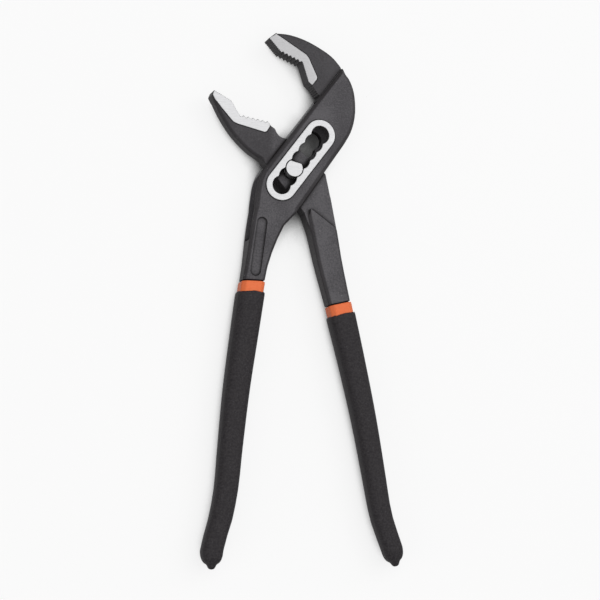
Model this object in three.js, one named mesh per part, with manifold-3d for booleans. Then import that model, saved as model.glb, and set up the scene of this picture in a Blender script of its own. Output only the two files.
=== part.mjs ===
// Slip-joint water pump pliers, lying flat: an outer lever with a slotted box, an inner lever that
// passes through the box, a pin with flats that sets in a row of scallops, and twice dipped grips.
// Millimetres. X points right, Y towards the jaws and Z up out of the flat side. The origin is the
// pin's axis at the lower rest plane, with the pin in its rest scallop. Pieces are drawn about the
// middle plane, and the whole group is then raised to rest on Z = 0.
import * as THREE from 'three';
import { mergeVertices } from 'three/addons/utils/BufferGeometryUtils.js';
import Module from 'manifold-3d';

// Clearances between pieces that slide or turn, and between a grip coat and what it covers
const RUN_GAP = 0.3;
const COAT_GAP = 0.3;
const THROAT_GAP = 0.2;

// Pin, slot and the raised ring round the slot; angles are in degrees
const PIN_RADIUS = 4;
const PIN_FLAT = 3;
const SHIFT_ANGLE = 67;
const SLOT_ANGLE = 53;
const SCALLOPS = 7;
const REST_SCALLOP = 2;
const PITCH = 5.2;
const RING_WIDTH = 3;
const RING_RISE = 0.6;

// Thicknesses
const JAW_THICKNESS = 7.8;
const LAND_RISE = 0.35;
const CHEEK_THICKNESS = 3;
const SHANK_THICKNESS = 11.6;

// Edges and teeth
const BOX_BEVEL = 2;
const JAW_BEVEL = 1.2;
const SHANK_CHAMFER = 1.5;
const COARSE_TEETH = 6;
const COARSE_DEPTH = 1;
const FINE_TEETH = 9;
const FINE_DEPTH = 0.45;
const BACK_TEETH = 7;
const ROOT_SHARE = 0.55;

// Outer lever: wall beside the ring, crown past the slot, and passage for the neck
const LEFT_WALL = 3.4;
const CROWN = 34;
const CROWN_CORNER = 3;
const PASSAGE_ABOVE = 14.5;
const PASSAGE_SLANT = 30;
const PASSAGE_BELOW = 25.5;

// Outer lever's head, as [x, y] from the centre of the slot's upper end
const UPPER_TIP = [-24, 45.5];
const UPPER_BEND = [-18.1, 39];
const UPPER_HEEL = [-7.2, 34.3];
const UPPER_BACK = [-4.6, 26];
const UPPER_CORNER = [0.1, 20.2];
const UPPER_ROOT = [[13.5, 25.4], [7.5, 16.4]];
const UPPER_SPINE = [[-20.3, 48.5], [-13.7, 48.4], [-6, 46.5], [1.1, 43.3], [7.4, 39.4], [11.7, 34.8]];
const UPPER_CLEAR = [[17.5, 29.4], [7.5, 11.4], [-14.5, 23.4], [-30.5, 45.4]];
const UPPER_LAND = [
  [-19.6, 47.6], [-10.8, 42.3], [-5.7, 39.2], [-4.4, 37.7],
  [-0.2, 28.6], [-0.4, 27.4], [-2.6, 24.7], [-3.2, 24.7],
];
const BOX_HUMP = [[12.3, -3.5], [16.2, 3.6], [18.1, 12], [17.7, 21.3], [15.6, 27.6]];

// Outer lever's tail, as [x, y] from the centre of the slot's lower end
const BOX_EDGE = [[-10.5, 1.5], [-11.9, -7], [-12.3, -11.7]];
const BOX_CROTCH = [8.2, -11.6];
const LEFT_HANDLE = [6.3, 8.3];

// Inner lever, as [x, y] from the pin's axis
const LOWER_TIP = [-37.6, 35.3];
const LOWER_BEND = [-29.7, 31.1];
const LOWER_VALLEY = [-25.8, 24.6];
const LOWER_HEEL = [-12, 22.3];
const LOWER_BACK = [-10.4, 20.4];
const LOWER_SPINE = [[-14.5, 4.1], [-20.9, 8], [-28.1, 14.9], [-33.6, 22.7], [-37.5, 30.1], [-38.6, 33]];
const LOWER_CLEAR = [[-34, 46], [40, 40], [60, -60], [-14.1, -60]];
const LOWER_ROOT = [[-8.2, 19], [-6.7, 16.2], [-4, 14.8], [-2.3, 14.9]];
const LOWER_LAND = [[-12.3, 17.4], [-13.2, 16.9], [-26.5, 20], [-28.6, 20.9], [-37.5, 30.8], [-38.6, 33]];
const NECK_SHOULDER = [16.4, -1];

// Step from the thin neck to the thick shank, turned down on the left to clear the box when closed
const STEP_RELIEF = [8, -21];
const STEP_LEFT = [8.6, -18.2];
const STEP_RIGHT = [18.9, -25.4];

// Handles: lean of the right one, starts of the coats and ends of the steel, measured down the handle
const RIGHT_LEAN = 14;
const LEFT_COAT_START = 53.1;
const RIGHT_COAT_START = 65.6;
const LEFT_TANG_END = 174;
const RIGHT_TANG_END = 178.6;

// Steel stations as [down, side, half width, half height], bare above the coats and hidden below
const LEFT_SHANK = [
  [14, -7, 9, 7.15],
  [20, -8.3, 10.2, 7.15],
  [25.4, -11.4, 8.1, 6.95],
  [34, -14.2, 6.6, 6.3],
  [45.5, -16.9, 5.4, 5.2],
  [LEFT_COAT_START, -18.3, 5.3, 4.7],
];
const LEFT_TANG = [
  [LEFT_COAT_START, -18.3, 4.3, 4.1],
  [75.8, -21.6, 4.05, 4],
  [103.4, -25.5, 3.65, 3.7],
  [130.8, -28.4, 3.2, 3.4],
  [150, -30.3, 3, 3.1],
  [166, -33.7, 2.95, 2.9],
  [LEFT_TANG_END, -36.6, 2.75, 2.8],
];
const RIGHT_SHANK = [
  [16, 8.9, 6.5, SHANK_THICKNESS / 2],
  [32.5, 8.2, 6.3, 5.6],
  [45, 7.65, 6, 5.1],
  [RIGHT_COAT_START, 7.6, 5.4, 4.7],
];
const RIGHT_TANG = [
  [RIGHT_COAT_START, 7.8, 4.3, 4.1],
  [92, 7.65, 3.7, 3.9],
  [120, 6.9, 3.2, 3.6],
  [148, 5.15, 2.8, 3.1],
  [162, 4.2, 2.6, 2.8],
  [171, 4.4, 2.5, 2.7],
  [RIGHT_TANG_END, 5.6, 2.4, 2.6],
];

// Neck below the pin, as [down, side] along the right handle
const NECK_RIGHT = [[19.3, 15.2], [38, 14]];
const NECK_LEFT = [[36, 2.4], [24, 1.2], [20.8, 0.9]];

// Recessed panel on the left handle, as [down, side] of its two round ends
const PANEL_TOP = [26.2, -15.3];
const PANEL_BOTTOM = [48.5, -17.8];
const PANEL_HALF_WIDTH = 2.45;
const PANEL_DEPTH = 0.8;

// Grip coats
const TANG_CHAMFER = 2;
const BAND_WIDTH = 4.6;
const UNDERCOAT = 1;
const OVERCOAT = 0.8;
const OVAL_POWER = 2 / 3;
const TIP_LENGTH = 6;
const NUB_RADIUS = 2.1;
const NUB_LENGTH = 2.6;
const NUB_SWEEP = 64;

// Resolution of curves, and the reach of cutting solids past every outline
const CURVE_SPACING = 2.5;
const CIRCLE_STEPS = 40;
const ROUND_STEPS = 4;
const RING_SPACING = 7;
const WELD = 1e-4;
const FAR = 60;

// Sizes that follow from the ones above
const PASSAGE_THICKNESS = JAW_THICKNESS + 2 * RUN_GAP;
const BOX_THICKNESS = PASSAGE_THICKNESS + 2 * CHEEK_THICKNESS;
const TOTAL = BOX_THICKNESS + 2 * RING_RISE;
const SCALLOP_RADIUS = PIN_RADIUS + RUN_GAP;
const THROAT = PIN_RADIUS + PIN_FLAT + THROAT_GAP;
const RING_HALF_WIDTH = SCALLOP_RADIUS + RING_WIDTH;
const BOX_LEFT = RING_HALF_WIDTH + LEFT_WALL;
const SLOT_LOW = -REST_SCALLOP * PITCH;
const SLOT_HIGH = SLOT_LOW + (SCALLOPS - 1) * PITCH;

const radians = THREE.MathUtils.degToRad;
const degrees = THREE.MathUtils.radToDeg;
const along = new THREE.Vector2(Math.cos(radians(SLOT_ANGLE)), Math.sin(radians(SLOT_ANGLE)));
const across = new THREE.Vector2(-along.y, along.x);

// Places in the plane: from the pin, along and across the slot, and from the slot's two ends
function fromPin([x, y]) {
  return new THREE.Vector2(x, y);
}

function fromSlot(u, w) {
  return fromPin([0, 0]).addScaledVector(along, u).addScaledVector(across, w);
}

function fromHead(place) {
  return fromSlot(SLOT_HIGH, 0).add(fromPin(place));
}

function fromTail(place) {
  return fromSlot(SLOT_LOW, 0).add(fromPin(place));
}

const wasm = await Module();
wasm.setup();

function signedVolume(positions, triangles) {
  const corner = (i) => new THREE.Vector3().fromArray(positions, 3 * triangles[i]);
  let six = 0;
  for (let i = 0; i < triangles.length; i += 3) {
    six += corner(i).dot(corner(i + 1).cross(corner(i + 2)));
  }
  return six / 6;
}

// Closed three.js geometry to a solid that can be joined and cut, with its faces pointing out
function toSolid(geometry) {
  const bare = new THREE.BufferGeometry();
  bare.setAttribute('position', geometry.getAttribute('position'));
  bare.setIndex(geometry.getIndex());
  const welded = mergeVertices(bare, WELD);
  const vertProperties = new Float32Array(welded.getAttribute('position').array);
  const triVerts = new Uint32Array(welded.getIndex().array);
  if (signedVolume(vertProperties, triVerts) < 0) {
    triVerts.reverse();
  }
  return new wasm.Manifold(new wasm.Mesh({ numProp: 3, vertProperties, triVerts }));
}

function toGeometry(solid) {
  const mesh = solid.getMesh();
  const geometry = new THREE.BufferGeometry();
  geometry.setAttribute('position', new THREE.BufferAttribute(mesh.vertProperties, 3));
  geometry.setIndex(new THREE.BufferAttribute(mesh.triVerts, 1));
  geometry.computeVertexNormals();
  return geometry;
}

// A flat outline thickened between two heights, with rims bevelled inside the outline
function slab(outline, low, high, bevel = 0) {
  const geometry = new THREE.ExtrudeGeometry(new THREE.Shape(outline), {
    depth: high - low - 2 * bevel,
    bevelEnabled: bevel > 0,
    bevelThickness: bevel,
    bevelSize: bevel,
    bevelOffset: -bevel,
    bevelSegments: 1,
  });
  geometry.translate(0, 0, low + bevel);
  return toSolid(geometry);
}

function plate(outline, thickness, bevel = 0) {
  return slab(outline, -thickness / 2, thickness / 2, bevel);
}

function curve(points) {
  const spline = new THREE.SplineCurve(points);
  return spline.getSpacedPoints(Math.ceil(spline.getLength() / CURVE_SPACING));
}

// Points round part of a circle, from one angle to another in degrees
function arc(centre, radius, from, to) {
  const count = Math.ceil((CIRCLE_STEPS * Math.abs(to - from)) / 360);
  const turns = Array.from({ length: count + 1 }, (_, i) => radians(from + ((to - from) * i) / count));
  return turns.map((turn) => fromPin([Math.cos(turn), Math.sin(turn)]).multiplyScalar(radius).add(centre));
}

function disc(centre, radius) {
  return arc(centre, radius, 0, 360).slice(0, -1);
}

function stadium(start, end, radius) {
  const angle = degrees(end.clone().sub(start).angle());
  return [...arc(end, radius, angle - 90, angle + 90), ...arc(start, radius, angle + 90, angle + 270)];
}

// Saw teeth on a straight edge: crests on the line, roots pushed in to the right of its direction
function toothRow(from, to, count, depth) {
  const step = to.clone().sub(from).divideScalar(count);
  const inward = fromPin([step.y, -step.x]).normalize().multiplyScalar(depth);
  const points = [];
  for (let i = 0; i < count; i += 1) {
    const crest = from.clone().addScaledVector(step, i);
    const root = crest.clone().addScaledVector(step, ROOT_SHARE).add(inward);
    points.push(crest, root);
  }
  return points;
}

// Smooth side, half width and half height at any distance down a row of stations
function stationLine(stations) {
  const downs = stations.map((station) => station[0]);
  const values = stations.flatMap((station) => station.slice(1));
  const spline = new THREE.CubicInterpolant(downs, values, 3);
  return (down) => {
    const [side, a, b] = spline.evaluate(down);
    return { side, a, b };
  };
}

function downSteps(from, to) {
  const count = Math.max(2, Math.round((to - from) / RING_SPACING));
  return Array.from({ length: count + 1 }, (_, i) => from + ((to - from) * i) / count);
}

// Shares of a rounded end: how far along it, and how much of the section is kept there
function roundEnd(sweep) {
  const turns = Array.from({ length: ROUND_STEPS }, (_, i) => radians((sweep * (i + 1)) / ROUND_STEPS));
  return turns.map((turn) => ({ run: Math.sin(turn), keep: Math.cos(turn) }));
}

// Sixteen points round a section: a rectangle with cut corners, or a rounded oval
function cutSection(a, b, cut) {
  const quadrant = [[a, 0], [a, b - cut], [a - cut / 2, b - cut / 2], [a - cut, b]];
  const mirrored = quadrant.slice(1).reverse().map(([x, z]) => [-x, z]);
  const upper = [...quadrant, [0, b], ...mirrored];
  return [...upper, ...upper.map(([x, z]) => [-x, -z])];
}

function ovalSection(a, b) {
  const bulge = (value) => Math.sign(value) * Math.abs(value) ** OVAL_POWER;
  const turns = Array.from({ length: 16 }, (_, i) => (i * Math.PI) / 8);
  return turns.map((turn) => [a * bulge(Math.cos(turn)), b * bulge(Math.sin(turn))]);
}

// A closed skin through a row of rings, with a flat cap on the first and on the last
function skin(rings) {
  const count = rings[0].length;
  const triangles = [];
  for (let r = 0; r + 1 < rings.length; r += 1) {
    const low = r * count;
    const high = low + count;
    for (let i = 0; i < count; i += 1) {
      const next = (i + 1) % count;
      triangles.push(low + i, low + next, high + i, low + next, high + next, high + i);
    }
  }
  const last = (rings.length - 1) * count;
  for (let i = 1; i + 1 < count; i += 1) {
    triangles.push(0, i + 1, i, last, last + i, last + i + 1);
  }
  const geometry = new THREE.BufferGeometry().setFromPoints(rings.flat());
  geometry.setIndex(triangles);
  return toSolid(geometry);
}

// One handle: its steel, the two coats over the tang, and places on it
function makeHandle({ lean, origin, shank, tang, coatStart, tangEnd }) {
  const shankAt = stationLine(shank);
  const tangAt = stationLine(tang);
  const sideways = fromPin([Math.cos(radians(lean)), Math.sin(radians(lean))]);
  const downwards = fromPin([sideways.y, -sideways.x]);

  function place([down, side]) {
    return origin.clone().addScaledVector(downwards, down).addScaledVector(sideways, side);
  }

  function ring(down, side, section) {
    return section.map(([x, z]) => new THREE.Vector3(...place([down, side + x]), z));
  }

  function tangRing(down, grow) {
    const { side, a, b } = tangAt(down);
    return ring(down, side, cutSection(a + grow, b + grow, TANG_CHAMFER));
  }

  function ovalRing(down, grow) {
    const { side, a, b } = tangAt(down);
    return ring(down, side, ovalSection(a + grow, b + grow));
  }

  function steel() {
    const shoulder = coatStart - COAT_GAP;
    const visible = downSteps(shank[0][0], shoulder).map((down) => {
      const { side, a, b } = shankAt(down);
      return ring(down, side, cutSection(a, b, SHANK_CHAMFER));
    });
    const hidden = downSteps(shoulder, tangEnd).map((down) => tangRing(down, 0));
    return skin([...visible, ...hidden]);
  }

  // First dip: a thin cup over the whole tang
  function undercoat() {
    const inner = COAT_GAP;
    const outer = inner + UNDERCOAT;
    const outside = downSteps(coatStart, tangEnd + outer).map((down) => tangRing(down, outer));
    const inside = downSteps(coatStart, tangEnd + inner).map((down) => tangRing(down, inner));
    return skin([...outside.reverse(), ...inside]);
  }

  // Second dip: a thicker rounded cup that leaves a band of the first one bare, with a drip on its end
  function overcoat() {
    const inner = UNDERCOAT + 2 * COAT_GAP;
    const outer = inner + OVERCOAT;
    const start = coatStart + BAND_WIDTH;
    const end = tangEnd + outer;
    const { side, a, b } = tangAt(end);
    const rim = roundEnd(90).map(({ run, keep }) => (
      ovalRing(start + (1 - keep) * OVERCOAT, inner + run * OVERCOAT)
    ));
    const body = downSteps(start + OVERCOAT, end).slice(1).map((down) => ovalRing(down, outer));
    const tip = roundEnd(90).map(({ run, keep }) => {
      const wide = NUB_RADIUS + (a + outer - NUB_RADIUS) * keep;
      const high = NUB_RADIUS + (b + outer - NUB_RADIUS) * keep;
      return ring(end + run * TIP_LENGTH, side, ovalSection(wide, high));
    });
    const nub = roundEnd(NUB_SWEEP).map(({ run, keep }) => (
      ring(end + TIP_LENGTH + run * NUB_LENGTH, side, ovalSection(NUB_RADIUS * keep, NUB_RADIUS * keep))
    ));
    const inside = downSteps(start, tangEnd + inner).map((down) => tangRing(down, inner));
    return skin([...[...rim, ...body, ...tip, ...nub].reverse(), ...inside]);
  }

  return { place, shankAt, steel, undercoat, overcoat };
}

const leftHandle = makeHandle({
  lean: 0,
  origin: fromTail(LEFT_HANDLE),
  shank: LEFT_SHANK,
  tang: LEFT_TANG,
  coatStart: LEFT_COAT_START,
  tangEnd: LEFT_TANG_END,
});
const rightHandle = makeHandle({
  lean: RIGHT_LEAN,
  origin: fromPin([0, 0]),
  shank: RIGHT_SHANK,
  tang: RIGHT_TANG,
  coatStart: RIGHT_COAT_START,
  tangEnd: RIGHT_TANG_END,
});

// A jaw: bevelled along its spine only, with a bright ground land standing proud on both sides
function jaw(outline, spineBevel, land) {
  return plate(outline, JAW_THICKNESS)
    .intersect(plate(spineBevel, JAW_THICKNESS, JAW_BEVEL))
    .add(plate(land, JAW_THICKNESS + 2 * LAND_RISE));
}

function upperJaw() {
  const [tip, bend, heel, back, corner] =
    [UPPER_TIP, UPPER_BEND, UPPER_HEEL, UPPER_BACK, UPPER_CORNER].map(fromHead);
  const rear = toothRow(corner, back, BACK_TEETH, FINE_DEPTH);
  const coarse = toothRow(heel, bend, COARSE_TEETH, COARSE_DEPTH);
  const fine = toothRow(bend, tip, FINE_TEETH, FINE_DEPTH);
  const bite = [back, ...coarse, ...fine, tip];
  const spine = curve(UPPER_SPINE.map(fromHead));
  const outline = [...UPPER_ROOT.map(fromHead), ...rear, ...bite, ...spine];
  const land = [...bite, spine[0], ...UPPER_LAND.map(fromHead)];
  return jaw(outline, [...UPPER_CLEAR.map(fromHead), ...spine], land);
}

// Box of the outer lever: two cheeks with a raised ring, cut by the slot and the neck's passage
function boxBlock() {
  const corner = fromSlot(SLOT_HIGH + CROWN - CROWN_CORNER / 2, BOX_LEFT - CROWN_CORNER);
  const hump = curve([...BOX_HUMP.map(fromHead), corner]);
  const crown = fromSlot(SLOT_HIGH + CROWN, BOX_LEFT);
  const edge = curve([fromSlot(SLOT_LOW, BOX_LEFT), ...BOX_EDGE.map(fromTail)]);
  return plate([...edge, fromTail(BOX_CROTCH), ...hump, crown], BOX_THICKNESS, BOX_BEVEL);
}

function slotCut() {
  const ends = [fromSlot(SLOT_LOW, 0), fromSlot(SLOT_HIGH, 0)];
  let cut = plate(stadium(...ends, THROAT / 2), 2 * TOTAL);
  for (let i = 0; i < SCALLOPS; i += 1) {
    cut = cut.add(plate(disc(fromSlot(SLOT_LOW + i * PITCH, 0), SCALLOP_RADIUS), 2 * TOTAL));
  }
  return cut;
}

function passageCut() {
  const top = SLOT_HIGH + PASSAGE_ABOVE;
  const rise = (BOX_LEFT + FAR) * Math.tan(radians(PASSAGE_SLANT));
  const bottom = fromTail([0, -PASSAGE_BELOW]).y;
  const outline = [
    fromPin([-FAR, bottom]),
    fromPin([FAR, bottom]),
    fromSlot(top + rise, -FAR),
    fromSlot(top, BOX_LEFT),
    fromSlot(top, FAR),
  ];
  return plate(outline, PASSAGE_THICKNESS);
}

// The panel's floor follows the sloping face of the handle
function panelCut() {
  const outline = stadium(leftHandle.place(PANEL_BOTTOM), leftHandle.place(PANEL_TOP), PANEL_HALF_WIDTH);
  const geometry = new THREE.ExtrudeGeometry(new THREE.Shape(outline), { depth: TOTAL, bevelEnabled: false });
  const position = geometry.getAttribute('position');
  const top = leftHandle.place([0, 0]).y;
  for (let i = 0; i < position.count; i += 1) {
    const face = leftHandle.shankAt(top - position.getY(i)).b;
    position.setZ(i, position.getZ(i) + face - PANEL_DEPTH);
  }
  return toSolid(geometry);
}

function outerLever() {
  const ring = stadium(fromSlot(SLOT_LOW, 0), fromSlot(SLOT_HIGH, 0), RING_HALF_WIDTH);
  return boxBlock()
    .add(plate(ring, TOTAL))
    .add(upperJaw())
    .add(leftHandle.steel())
    .subtract(panelCut())
    .subtract(passageCut())
    .subtract(slotCut());
}

// Inner lever: lower jaw, neck with the pin's bore, and right shank
function lowerJawAndNeck() {
  const [tip, bend, valley, heel, back] =
    [LOWER_TIP, LOWER_BEND, LOWER_VALLEY, LOWER_HEEL, LOWER_BACK].map(fromPin);
  const fine = toothRow(tip, bend, FINE_TEETH, FINE_DEPTH);
  const coarse = toothRow(valley, heel, COARSE_TEETH, COARSE_DEPTH);
  const bite = [...fine, bend, ...coarse, heel, back];
  const spine = curve(LOWER_SPINE.map(fromPin));
  const root = curve(LOWER_ROOT.map(fromPin));
  const neck = [fromPin(NECK_SHOULDER), ...[...NECK_RIGHT, ...NECK_LEFT].map(rightHandle.place)];
  const land = [...bite, ...LOWER_LAND.map(fromPin)];
  return jaw([...spine, ...bite, ...root, ...neck], [...spine, ...LOWER_CLEAR.map(fromPin)], land);
}

// The thick shank ends at a step where the box's two cheeks reach over the neck
function rightShank() {
  const [relief, left, right] = [STEP_RELIEF, STEP_LEFT, STEP_RIGHT].map(fromPin);
  const side = right.clone().sub(left).setLength(FAR).add(left);
  const above = [relief, left, side, fromPin([side.x, FAR]), fromPin([-FAR, FAR]), fromPin([-FAR, relief.y])];
  return rightHandle.steel()
    .subtract(slab(above, JAW_THICKNESS / 2, TOTAL))
    .subtract(slab(above, -TOTAL, -JAW_THICKNESS / 2));
}

function innerLever() {
  const bore = plate(disc(fromPin([0, 0]), SCALLOP_RADIUS), TOTAL);
  return lowerJawAndNeck().add(rightShank()).subtract(bore);
}

// Pin: a round core in the neck's bore, and a head with a flat in each cheek's slot. The flats lie
// along the slot once the inner lever is swung open by the shift angle
function pinCore() {
  return plate(disc(fromPin([0, 0]), PIN_RADIUS), JAW_THICKNESS);
}

function pinHead(low, high) {
  const middle = SLOT_ANGLE - SHIFT_ANGLE + 90;
  const half = degrees(Math.acos(PIN_FLAT / PIN_RADIUS));
  return slab(arc(fromPin([0, 0]), PIN_RADIUS, middle + half, middle + 360 - half), low, high);
}

const forgedBlack = { color: 0x454345, roughness: 0.6, metalness: 0.3 };
const brightSteel = { color: 0xd8d8d8, roughness: 0.35, metalness: 0.9 };
const orangeDip = { color: 0xe06428, roughness: 0.5, metalness: 0 };
const blackDip = { color: 0x302d2e, roughness: 0.7, metalness: 0 };

function piece(name, solid, look) {
  const mesh = new THREE.Mesh(toGeometry(solid), new THREE.MeshStandardMaterial(look));
  mesh.name = name;
  return mesh;
}

// What stays still, and what turns about the pin with the inner lever
const outer = new THREE.Group();
outer.add(
  piece('outer_lever', outerLever(), forgedBlack),
  piece('left_grip_undercoat', leftHandle.undercoat(), orangeDip),
  piece('left_grip_overcoat', leftHandle.overcoat(), blackDip),
);

const headLow = JAW_THICKNESS / 2 + RUN_GAP;
const headHigh = TOTAL / 2;
const inner = new THREE.Group();
inner.add(
  piece('inner_lever', innerLever(), forgedBlack),
  piece('pin_core', pinCore(), brightSteel),
  piece('pin_front_head', pinHead(headLow, headHigh), brightSteel),
  piece('pin_rear_head', pinHead(-headHigh, -headLow), brightSteel),
  piece('right_grip_undercoat', rightHandle.undercoat(), orangeDip),
  piece('right_grip_overcoat', rightHandle.overcoat(), blackDip),
);

const pliers = new THREE.Group();
pliers.add(outer, inner);
pliers.position.z = TOTAL / 2;

export default pliers;
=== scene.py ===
"""Looks of the slip-joint pliers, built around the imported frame. Metres, in the frame's own axes."""
import math

import bpy
import numpy as np
from mathutils import Matrix, Vector


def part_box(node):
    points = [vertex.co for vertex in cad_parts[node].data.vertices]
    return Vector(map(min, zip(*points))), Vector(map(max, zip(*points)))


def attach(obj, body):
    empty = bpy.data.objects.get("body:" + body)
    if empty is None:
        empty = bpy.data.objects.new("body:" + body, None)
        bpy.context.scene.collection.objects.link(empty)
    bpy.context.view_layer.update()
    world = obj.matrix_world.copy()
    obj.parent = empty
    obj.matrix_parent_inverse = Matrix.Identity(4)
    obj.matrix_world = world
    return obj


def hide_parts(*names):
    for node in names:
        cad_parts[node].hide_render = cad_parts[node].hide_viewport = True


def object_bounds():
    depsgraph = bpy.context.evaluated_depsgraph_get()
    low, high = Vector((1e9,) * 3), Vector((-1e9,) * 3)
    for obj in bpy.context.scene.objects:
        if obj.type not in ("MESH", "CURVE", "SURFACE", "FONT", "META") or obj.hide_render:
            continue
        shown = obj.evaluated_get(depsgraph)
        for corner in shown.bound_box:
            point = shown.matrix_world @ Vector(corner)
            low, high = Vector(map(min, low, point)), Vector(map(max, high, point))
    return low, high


MM = 0.001

# The frame, and its box before anything is added
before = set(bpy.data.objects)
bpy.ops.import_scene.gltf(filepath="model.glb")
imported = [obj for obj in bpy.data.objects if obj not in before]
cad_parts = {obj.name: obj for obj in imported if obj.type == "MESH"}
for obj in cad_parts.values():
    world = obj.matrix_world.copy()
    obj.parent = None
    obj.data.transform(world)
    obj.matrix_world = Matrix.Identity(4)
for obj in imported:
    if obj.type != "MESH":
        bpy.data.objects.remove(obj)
cad_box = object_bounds()


def rgb(red, green, blue):
    """Linear colour of a screen colour given in 0 to 255."""
    def linear(value):
        share = value / 255
        return share / 12.92 if share <= 0.04045 else ((share + 0.055) / 1.055) ** 2.4
    return (linear(red), linear(green), linear(blue), 1.0)


# Sizes of the part that the looks follow, with heights measured from its middle plane
PIN_RADIUS = 4 * MM
PIN_FLAT = 3 * MM
PIN_RIM = 0.3 * MM
FLAT_TURN = math.radians(76)
SLOT_TURN = math.radians(53)
RING_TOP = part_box("outer_lever")[1].z
MIDDLE = RING_TOP / 2
RING_HEIGHT = RING_TOP - MIDDLE
RING_RISE = 0.6 * MM
LAND_HEIGHT = 4.25 * MM
LAND_RISE = 0.35 * MM

# Bands over which a look sets in: heights past a level, and distances in plan
RING_BRIGHT = (-0.16 * MM, -0.1 * MM)
LAND_BRIGHT = (-0.14 * MM, -0.08 * MM)
LAND_PASSED = (0.1 * MM, 0.2 * MM)
FOOT_SHADE_BAND = (0.04 * MM, 0.12 * MM)
UPPER_JAW_START = (9.5 * MM, 11 * MM)
LOWER_JAW_END = (-12 * MM, -8 * MM)

# Rounding of the remade pieces: size of the remesh, rounds of averaging, its strength, share of faces kept
LEVER_ROUNDING = (0.18 * MM, 14)
OVERCOAT_ROUNDING = (0.35 * MM, 13)
UNDERCOAT_ROUNDING = (0.3 * MM, 8)
SOFTENING = 0.6
KEPT_FACES = 0.25
PIN_STEPS = 96

# Lines in plan where a lever's edges stay sharp, in mm: two ends, and the reach on either side
CRISP = 0.95
CRISP_FADE = 0.8 * MM
BITE_REACH = 1.6
UPPER_BITE = [(-11.5, 62.1), (-5.6, 55.6), (5.3, 50.9), (7.9, 42.6), (12.6, 36.8)]
LOWER_BITE = [(-37.6, 35.3), (-29.7, 31.1), (-25.8, 24.6), (-12.0, 22.3)]
RING_LINE = ((-6.3, -8.3), (12.5, 16.6), 7.0)
PANEL_LINE = ((-15.3, -26.2), (-17.8, -48.5), 3.0)
STEP_LINE = ((8.6, -18.2), (18.9, -25.4), 0.8)

# Colours
COAT_DARK = rgb(79, 77, 80)
COAT_PALE = rgb(103, 101, 104)
COAT_WALL_SHADE = rgb(48, 45, 46)
COAT_CHIP = rgb(150, 149, 150)
COAT_CREASE_SHADE = rgb(30, 28, 29)
COAT_JAW = rgb(62, 60, 62)
COAT_FOOT_SHADE = rgb(34, 32, 33)
STEEL_DARK = rgb(178, 178, 180)
STEEL_PALE = rgb(236, 236, 237)
STEEL_SHADED = rgb(130, 128, 130)
BLACK_DARK = rgb(42, 39, 42)
BLACK_PALE = rgb(61, 58, 60)
BLACK_SPECK = rgb(68, 66, 68)
ORANGE_DARK = rgb(250, 120, 70)
ORANGE_PALE = rgb(255, 138, 90)
WHITE = (1, 1, 1, 1)
FLOOR_GREY = (0.2, 0.2, 0.2, 1)

# Shares of one look in another
WALL_SHADE_SHARE = 0.7
CHIP_SHARE = 0.5
JAW_SHARE = 0.5
UPPER_LAND_SHADE = 0.4

# Scales of noise, and reaches of shade
CLOUD_SCALE = 60
GRAIN_SCALE = 1400
CHIP_SCALE = 1000
STREAK_SCALE = 160
STREAK_STRETCH = 12
BLACK_GRAIN_SCALE = 1100
BLACK_SPECK_SCALE = 1500
ORANGE_GRAIN_SCALE = 900
CREASE_SHADE_REACH = 3 * MM
FLOOR_SHADE_REACH = 20 * MM

# Stage: floor, light and the photograph's view
FLOOR_HALF = 4.0
FLOOR_DROP = 0.2 * MM
FLOOR_GLOW = 0.8
WORLD_STRENGTH = 0.23
LAMPS = {
    "sky": {"towards": (0.15, 0.1, 1), "distance": 1.5, "size": 2.4, "power": 18.5},
    "key": {"towards": (0.75, 0.45, 0.6), "distance": 1.3, "size": 0.8, "power": 2.2},
    "fill": {"towards": (-0.85, -0.3, 0.45), "distance": 1.3, "size": 1.0, "power": 2.6},
}
CAMERA_BACK = Vector((-0.292, -0.156, 0.944)).normalized()
CAMERA_TARGET = Vector((2.6, -61.7, 15.6)) * MM
CAMERA_DISTANCE = 1.0
CAMERA_LENS = 130.8
CAMERA_SENSOR = 36


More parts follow.
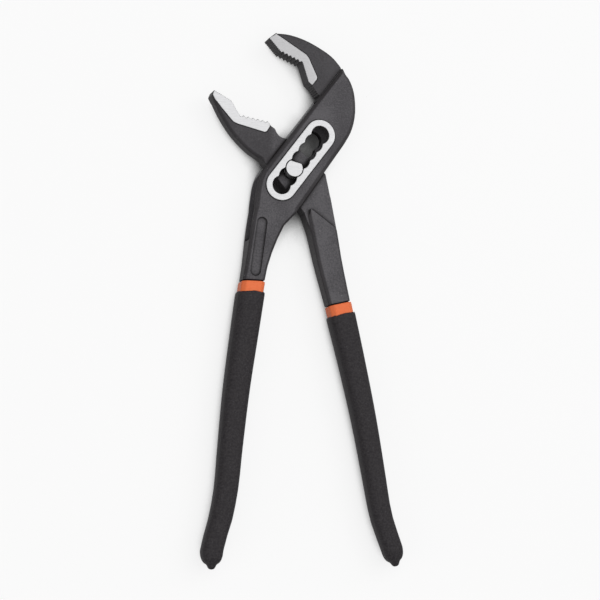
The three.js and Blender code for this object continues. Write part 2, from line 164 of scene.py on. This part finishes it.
class Nodes:
    """A material with its node tree, and short calls to add and join nodes."""

    def __init__(self, name):
        self.material = bpy.data.materials.new(name)
        self.material.use_nodes = True
        self.tree = self.material.node_tree
        self.shader = self.tree.nodes["Principled BSDF"]

    def add(self, kind, **settings):
        node = self.tree.nodes.new("ShaderNode" + kind)
        for key, value in settings.items():
            setattr(node, key, value)
        return node

    def feed(self, socket, value):
        """Joins a socket to another node's output, or sets its constant."""
        if isinstance(value, bpy.types.NodeSocket):
            self.tree.links.new(value, socket)
        else:
            socket.default_value = value

    def shade(self, inputs):
        for name, value in inputs.items():
            self.feed(self.shader.inputs[name], value)

    def place(self):
        return self.add("TexCoord").outputs["Object"]

    def split(self, vector):
        node = self.add("SeparateXYZ")
        self.feed(node.inputs[0], vector)
        return node.outputs

    def math(self, operation, first, second=0.0):
        node = self.add("Math", operation=operation)
        self.feed(node.inputs[0], first)
        self.feed(node.inputs[1], second)
        return node.outputs[0]

    def product(self, first, *others):
        for other in others:
            first = self.math("MULTIPLY", first, other)
        return first

    def noise(self, place, scale, detail, roughness=0.5):
        node = self.add("TexNoise")
        self.feed(node.inputs["Vector"], place)
        node.inputs["Scale"].default_value = scale
        node.inputs["Detail"].default_value = detail
        node.inputs["Roughness"].default_value = roughness
        return node.outputs["Fac"]

    def ramp(self, value, low, high, start=0.0, end=1.0):
        """Smooth step from start to end while a value goes from low to high."""
        node = self.add("MapRange", interpolation_type="SMOOTHSTEP")
        self.feed(node.inputs["Value"], value)
        for name, number in (("From Min", low), ("From Max", high), ("To Min", start), ("To Max", end)):
            node.inputs[name].default_value = number
        return node.outputs["Result"]

    def past(self, value, level, band, start=0.0, end=1.0):
        return self.ramp(value, level + band[0], level + band[1], start, end)

    def mix(self, factor, first, second):
        """Mix of two colours."""
        node = self.add("Mix", data_type="RGBA")
        for socket, value in ((0, factor), (6, first), (7, second)):
            self.feed(node.inputs[socket], value)
        return node.outputs[2]

    def blend(self, factor, first, second):
        """Mix of two plain values."""
        node = self.add("Mix", data_type="FLOAT")
        for socket, value in ((0, factor), (2, first), (3, second)):
            self.feed(node.inputs[socket], value)
        return node.outputs[0]

    def openness(self, reach):
        """1 on open ground, less in a crease or beside a wall within reach."""
        node = self.add("AmbientOcclusion")
        node.inputs["Distance"].default_value = reach
        return node.outputs["AO"]

    def bump(self, height, strength, distance):
        node = self.add("Bump")
        node.inputs["Strength"].default_value = strength
        node.inputs["Distance"].default_value = distance
        self.feed(node.inputs["Height"], height)
        return node.outputs["Normal"]


def coating(nodes, place):
    """Satin black coating on a forging: colour with painted shade on its walls and in its creases, roughness
    and height of its fine grain.
    """
    cloud = nodes.noise(place, CLOUD_SCALE, 3)
    grain = nodes.noise(place, GRAIN_SCALE, 2)
    chips = nodes.ramp(nodes.noise(place, CHIP_SCALE, 1), 0.74, 0.8, 0, CHIP_SHARE)
    mottle = nodes.math("ADD", nodes.product(cloud, 0.5), nodes.product(grain, 0.5))
    colour = nodes.mix(nodes.ramp(mottle, 0.35, 0.65), COAT_DARK, COAT_PALE)
    # Painted shade: the coating is darker on walls and bevels than on flats, whichever way they face.
    facing = nodes.split(nodes.add("TexCoord").outputs["Normal"])["Z"]
    wall = nodes.ramp(nodes.math("ABSOLUTE", facing), 0.6, 0.95, WALL_SHADE_SHARE, 0)
    colour = nodes.mix(wall, colour, COAT_WALL_SHADE)
    colour = nodes.mix(chips, colour, COAT_CHIP)
    # Painted shade: the colour darkens in creases and beside walls, where the part shades itself.
    colour = nodes.mix(nodes.ramp(nodes.openness(CREASE_SHADE_REACH), 0.62, 0.98), COAT_CREASE_SHADE, colour)
    return colour, nodes.ramp(grain, 0.2, 0.8, 0.45, 0.65), grain


def ground_steel(nodes, place):
    """Ground steel: colour and roughness, with fine streaks along the wheel's path."""
    streak = nodes.add("Mapping")
    nodes.feed(streak.inputs["Vector"], place)
    streak.inputs["Rotation"].default_value = (0, 0, math.pi / 2 - SLOT_TURN)
    streak.inputs["Scale"].default_value = (1, STREAK_STRETCH, 1)
    scratch = nodes.noise(streak.outputs[0], STREAK_SCALE, 4, 0.7)
    return nodes.mix(scratch, STEEL_DARK, STEEL_PALE), nodes.ramp(scratch, 0.2, 0.8, 0.36, 0.5)


def forged_material(name, jaw_side, land_shade=None):
    """Black forging that is ground bright on its jaw lands and, on the outer lever, on the ring."""
    nodes = Nodes(name)
    place = nodes.place()
    axes = nodes.split(place)
    height = nodes.math("ABSOLUTE", nodes.math("SUBTRACT", axes["Z"], MIDDLE))
    jaw = jaw_side(nodes, axes)
    jaw_upto_land = nodes.product(nodes.past(height, LAND_HEIGHT, LAND_PASSED, 1, 0), jaw)
    land = nodes.product(nodes.past(height, LAND_HEIGHT, LAND_BRIGHT), jaw_upto_land)
    # Painted shadow: a dark band on the walls at the foot of the raised ring and lands.
    land_foot_shade = nodes.product(nodes.past(height, LAND_HEIGHT - LAND_RISE, FOOT_SHADE_BAND), jaw_upto_land)
    ring = nodes.past(height, RING_HEIGHT, RING_BRIGHT)
    ring_foot_shade = nodes.past(height, RING_HEIGHT - RING_RISE, FOOT_SHADE_BAND)
    ground = nodes.math("MAXIMUM", ring, land)

    black, black_rough, grain = coating(nodes, place)
    black = nodes.mix(nodes.product(jaw, JAW_SHARE), black, COAT_JAW)
    black = nodes.mix(nodes.math("MAXIMUM", ring_foot_shade, land_foot_shade), black, COAT_FOOT_SHADE)
    bright, bright_rough = ground_steel(nodes, place)
    # Painted shade: the outer lever's jaw land is made darker, standing in for a dimmer reflection of the
    # lamps there.
    if land_shade:
        bright = nodes.mix(nodes.product(land, land_shade), bright, STEEL_SHADED)
    nodes.shade({
        "Base Color": nodes.mix(ground, black, bright),
        "Metallic": ground,
        "Roughness": nodes.blend(ground, black_rough, bright_rough),
        "Specular IOR Level": 0.12,
        "Normal": nodes.bump(grain, 0.25, 0.05 * MM),
    })
    return nodes.material


def upper_jaw_side(nodes, axes):
    """1 past the box's crown, where the upper jaw is."""
    along = nodes.product(axes["X"], -math.sin(SLOT_TURN))
    across = nodes.product(axes["Y"], math.cos(SLOT_TURN))
    return nodes.past(nodes.math("ADD", along, across), 0, UPPER_JAW_START)


def lower_jaw_side(nodes, axes):
    """1 on the lower jaw, left of its neck."""
    return nodes.past(axes["X"], 0, LOWER_JAW_END, 1, 0)


def steel_material():
    """Ground steel of the pin."""
    nodes = Nodes("bright_steel")
    bright, rough = ground_steel(nodes, nodes.place())
    nodes.shade({"Base Color": bright, "Roughness": rough, "Metallic": 1.0})
    return nodes.material


def black_dip_material():
    """Matte black vinyl with a fine grain."""
    nodes = Nodes("dip_black")
    place = nodes.place()
    grain = nodes.noise(place, BLACK_GRAIN_SCALE, 3, 0.6)
    speck = nodes.ramp(nodes.noise(place, BLACK_SPECK_SCALE, 1), 0.6, 0.75)
    base = nodes.mix(nodes.ramp(grain, 0.3, 0.7), BLACK_DARK, BLACK_PALE)
    nodes.shade({
        "Base Color": nodes.mix(speck, base, BLACK_SPECK),
        "Roughness": nodes.ramp(grain, 0.2, 0.8, 0.55, 0.75),
        "Specular IOR Level": 0.2,
        "Normal": nodes.bump(grain, 0.6, 0.12 * MM),
    })
    return nodes.material


def orange_dip_material():
    """Satin orange vinyl."""
    nodes = Nodes("dip_orange")
    grain = nodes.noise(nodes.place(), ORANGE_GRAIN_SCALE, 2)
    nodes.shade({
        "Base Color": nodes.mix(grain, ORANGE_DARK, ORANGE_PALE),
        "Roughness": nodes.ramp(grain, 0.2, 0.8, 0.35, 0.5),
        "Specular IOR Level": 0.12,
        "Normal": nodes.bump(grain, 0.15, 0.05 * MM),
    })
    return nodes.material


def add_object(name, data):
    piece = bpy.data.objects.new(name, data)
    bpy.context.scene.collection.objects.link(piece)
    return piece


def paint(mesh, material):
    mesh.materials.clear()
    mesh.materials.append(material)


def bake_modifiers(piece):
    """Gives the piece the mesh that its modifiers make."""
    bpy.context.view_layer.update()
    shown = piece.evaluated_get(bpy.context.evaluated_depsgraph_get())
    mesh = bpy.data.meshes.new_from_object(shown)
    piece.modifiers.clear()
    piece.data = mesh


def soften(mesh, rounds, keep):
    """Averages each point with its neighbours, the less the higher keep(points) is there."""
    count = len(mesh.vertices)
    points = np.empty(count * 3)
    mesh.vertices.foreach_get("co", points)
    points = points.reshape(-1, 3)
    edges = np.empty(len(mesh.edges) * 2, np.int64)
    mesh.edges.foreach_get("vertices", edges)
    first, second = edges.reshape(-1, 2).T
    degree = np.bincount(first, minlength=count) + np.bincount(second, minlength=count)
    share = (SOFTENING * (1 - keep(points)))[:, None]
    for _ in range(rounds):
        total = np.zeros_like(points)
        for axis in range(3):
            total[:, axis] = np.bincount(first, points[second, axis], count)
            total[:, axis] += np.bincount(second, points[first, axis], count)
        points += share * (total / degree[:, None] - points)
    mesh.vertices.foreach_set("co", points.ravel())
    mesh.update()


def even(points):
    """Weight that softens all of a piece alike."""
    return np.zeros(len(points))


def near_line(points, start, end, reach):
    """1 within reach of a line in plan, falling to 0 over the fade past it."""
    start, end = (np.array(place) * MM for place in (start, end))
    line = end - start
    share = np.clip(((points[:, :2] - start) @ line) / (line @ line), 0, 1)
    gap = np.linalg.norm(points[:, :2] - start - share[:, None] * line, axis=1)
    return np.clip(1 + (reach * MM - gap) / CRISP_FADE, 0, 1)


def crisp(lines):
    """Weight that keeps edges sharp near a lever's lines."""
    def keep(points):
        return CRISP * np.max([near_line(points, *line) for line in lines], axis=0)
    return keep


def bite_lines(corners):
    return [(start, end, BITE_REACH) for start, end in zip(corners, corners[1:])]


def remade(node, body, material, rounding, keep=even):
    """A smooth piece in place of a CAD node: the node's solid with its edges rounded as forged or dipped."""
    voxel, rounds = rounding
    piece = add_object(node + "_shown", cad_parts[node].data.copy())
    remesh = piece.modifiers.new("remesh", "REMESH")
    remesh.mode = "VOXEL"
    remesh.voxel_size = voxel
    bake_modifiers(piece)
    soften(piece.data, rounds, keep)
    thin = piece.modifiers.new("thin", "DECIMATE")
    thin.ratio = KEPT_FACES
    bake_modifiers(piece)
    paint(piece.data, material)
    piece.data.shade_smooth()
    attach(piece, body)
    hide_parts(node)


def pin_head(node, material):
    """A pin end with a flat on one side and a small rounded rim."""
    low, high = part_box(node)
    half = math.acos(PIN_FLAT / PIN_RADIUS)
    arc = 2 * math.pi - 2 * half
    turns = [FLAT_TURN + half + arc * i / PIN_STEPS for i in range(PIN_STEPS + 1)]
    outline = [(PIN_RADIUS * math.cos(turn), PIN_RADIUS * math.sin(turn)) for turn in turns]
    count = len(outline)
    points = [(x, y, low.z) for x, y in outline] + [(x, y, high.z) for x, y in outline]
    faces = [list(range(count))[::-1], list(range(count, 2 * count))]
    faces += [[i, (i + 1) % count, count + (i + 1) % count, count + i] for i in range(count)]
    mesh = bpy.data.meshes.new(node + "_shown")
    mesh.from_pydata(points, [], faces)
    mesh.shade_smooth()
    paint(mesh, material)
    piece = add_object(node + "_shown", mesh)
    rim = piece.modifiers.new("rim", "BEVEL")
    rim.width = PIN_RIM
    rim.segments = 3
    rim.limit_method = "ANGLE"
    piece.modifiers.new("normals", "WEIGHTED_NORMAL")
    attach(piece, "inner")
    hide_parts(node)


def add_camera():
    data = bpy.data.cameras.new("camera")
    data.lens = CAMERA_LENS
    data.sensor_width = CAMERA_SENSOR
    camera = add_object("camera", data)
    right = (-CAMERA_BACK).cross(Vector((0, 1, 0))).normalized()
    up = CAMERA_BACK.cross(right)
    turn = Matrix((right, up, CAMERA_BACK)).transposed()
    camera.matrix_world = Matrix.Translation(CAMERA_TARGET + CAMERA_DISTANCE * CAMERA_BACK) @ turn.to_4x4()
    bpy.context.scene.camera = camera


def add_lamp(name, towards, distance, size, power):
    """A square lamp that faces the middle of the part."""
    data = bpy.data.lights.new(name, "AREA")
    data.size = size
    data.energy = power
    lamp = add_object(name, data)
    direction = Vector(towards).normalized()
    centre = (cad_box[0] + cad_box[1]) / 2
    lamp.location = centre + direction * distance
    lamp.rotation_mode = "QUATERNION"
    lamp.rotation_quaternion = direction.to_track_quat("Z", "Y")


def add_world():
    world = bpy.data.worlds.new("studio")
    world.use_nodes = True
    background = world.node_tree.nodes["Background"]
    background.inputs["Color"].default_value = WHITE
    background.inputs["Strength"].default_value = WORLD_STRENGTH
    bpy.context.scene.world = world


def add_floor():
    """A floor that shows as white to the camera and in reflections, keeps the part's shadow, and has a
    painted shadow where its glow fades near the part.
    """
    corners = [(x * FLOOR_HALF, y * FLOOR_HALF, 0) for x, y in ((-1, -1), (1, -1), (1, 1), (-1, 1))]
    mesh = bpy.data.meshes.new("floor")
    mesh.from_pydata(corners, [], [[0, 1, 2, 3]])
    nodes = Nodes("floor")
    path = nodes.add("LightPath").outputs
    seen = nodes.math("MAXIMUM", path["Is Camera Ray"], path["Is Glossy Ray"])
    seen = nodes.math("MAXIMUM", seen, path["Is Transmission Ray"])
    # Painted shadow: the floor's glow fades near the part and under it.
    glow_with_painted_shadow = nodes.ramp(nodes.openness(FLOOR_SHADE_REACH), 0.2, 0.6, 0, FLOOR_GLOW)
    nodes.shade({
        "Base Color": FLOOR_GREY,
        "Roughness": 1.0,
        "Specular IOR Level": 0.0,
        "Emission Color": WHITE,
        "Emission Strength": nodes.product(seen, glow_with_painted_shadow),
    })
    paint(mesh, nodes.material)
    floor = add_object("floor", mesh)
    floor.location.z = -FLOOR_DROP


add_camera()
add_world()
for name, lamp in LAMPS.items():
    add_lamp(name, **lamp)
add_floor()

# Levers, each in its own forged material
outer_forged = forged_material("outer_forged", upper_jaw_side, UPPER_LAND_SHADE)
outer_crisp = crisp([*bite_lines(UPPER_BITE), RING_LINE, PANEL_LINE])
remade("outer_lever", "outer", outer_forged, LEVER_ROUNDING, outer_crisp)
inner_forged = forged_material("inner_forged", lower_jaw_side)
inner_crisp = crisp([*bite_lines(LOWER_BITE), STEP_LINE])
remade("inner_lever", "inner", inner_forged, LEVER_ROUNDING, inner_crisp)

# Grips, dipped twice
dip_black = black_dip_material()
dip_orange = orange_dip_material()
for side, body in (("left", "outer"), ("right", "inner")):
    remade(side + "_grip_overcoat", body, dip_black, OVERCOAT_ROUNDING)
    remade(side + "_grip_undercoat", body, dip_orange, UNDERCOAT_ROUNDING)

# Pin: new heads, and the core as it is in the frame
steel = steel_material()
for node in ("pin_front_head", "pin_rear_head"):
    pin_head(node, steel)
paint(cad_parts["pin_core"].data, steel)

bpy.context.scene.view_settings.view_transform = "Standard"
